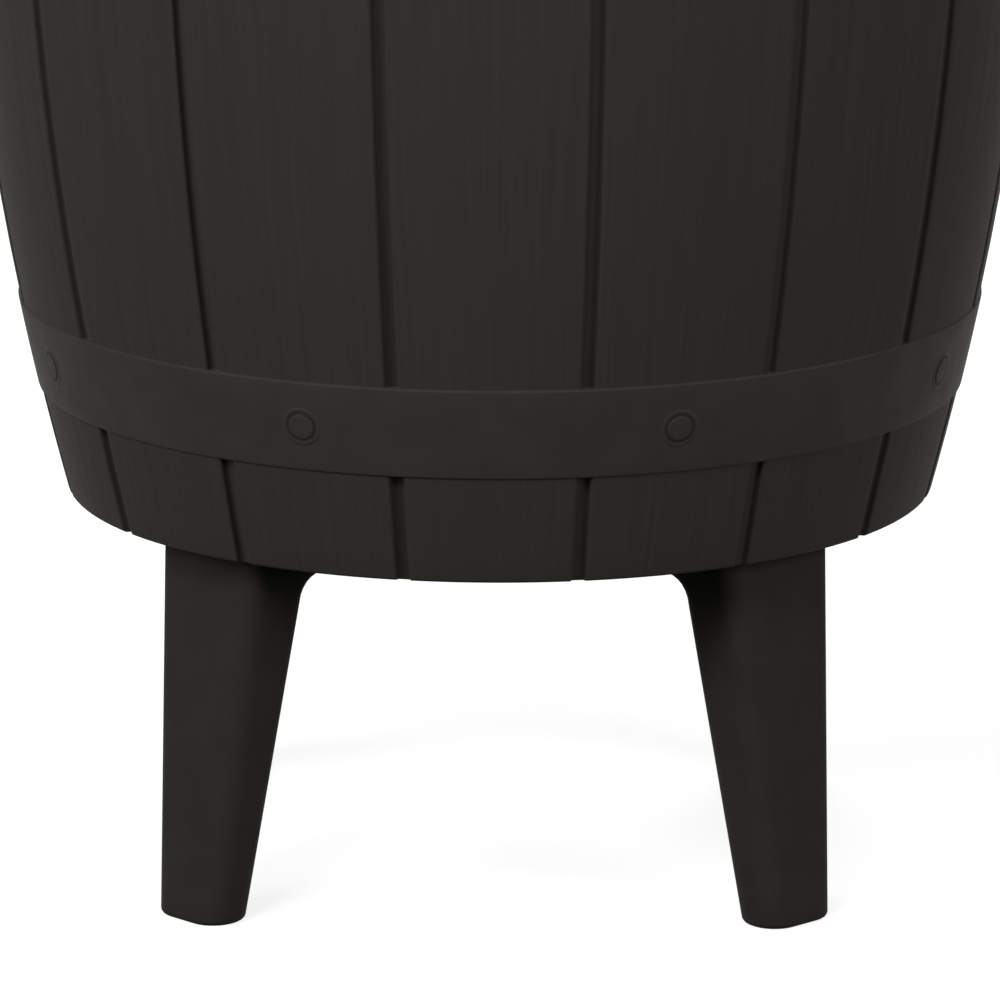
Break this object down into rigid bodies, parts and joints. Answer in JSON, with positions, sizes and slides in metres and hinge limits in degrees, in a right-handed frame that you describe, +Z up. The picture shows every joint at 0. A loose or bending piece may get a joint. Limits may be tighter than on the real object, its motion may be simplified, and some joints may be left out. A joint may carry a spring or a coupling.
{
  "type": "cooler table",
  "caption": "Barrel-shaped patio cooler table on tapered legs, with a round lid that lifts on a central post and turns to lock above an ice bucket with a drain",
  "frame": {"origin": "on the floor under the barrel's axis", "axes": "+Z up, front towards -Y, +X to the right seen from the front"},
  "size_m": [0.495, 0.495, 0.57],
  "materials": {
    "dark_resin": "moulded resin, fine vertical grain on the staves",
    "liner_resin": "smooth moulded resin",
    "post_metal": "satin anodised",
    "black_nylon": "moulded nylon",
    "seal_rubber": "matte",
    "screw_steel": "satin stainless"
  },
  "bodies": {
    "barrel": {"outer_barrel": "dark_resin", "inner_bucket": "liner_resin", "guide_tube": "post_metal", "guide_collar": "black_nylon", "column_seal": "seal_rubber", "tube_screws": "screw_steel", "rim_screws": "screw_steel", "leg_front_left": "dark_resin", "leg_front_right": "dark_resin", "leg_rear_left": "dark_resin", "leg_rear_right": "dark_resin", "leg_screws": "screw_steel", "drain_fitting": "black_nylon", "drain_gasket": "seal_rubber", "drain_nut": "black_nylon"},
    "glide": {"glide_bush": "black_nylon"},
    "table": {"table_top": "dark_resin", "lid_underside": "dark_resin", "lid_screws": "screw_steel", "post_flange": "black_nylon", "flange_screws": "screw_steel", "lift_post": "post_metal", "post_pin": "screw_steel", "lock_pin": "screw_steel", "post_end_cap": "black_nylon"},
    "drain_plug": {"drain_plug": "seal_rubber"}
  },
  "joints": [
    {"name": "lid_lift", "type": "slide", "parent": "barrel", "child": "glide", "axis": [0, 0, 1], "range_m": [0, 0.25]},
    {"name": "lid_twist", "type": "hinge", "parent": "glide", "child": "table", "pos_m": [0, 0, 0.2], "axis": [0, 0, 1], "range_deg": [0, 60]},
    {"name": "drain_plug_pull", "type": "slide", "parent": "barrel", "child": "drain_plug", "axis": [0, 0, -1], "range_m": [0, 0.025]}
  ]
}
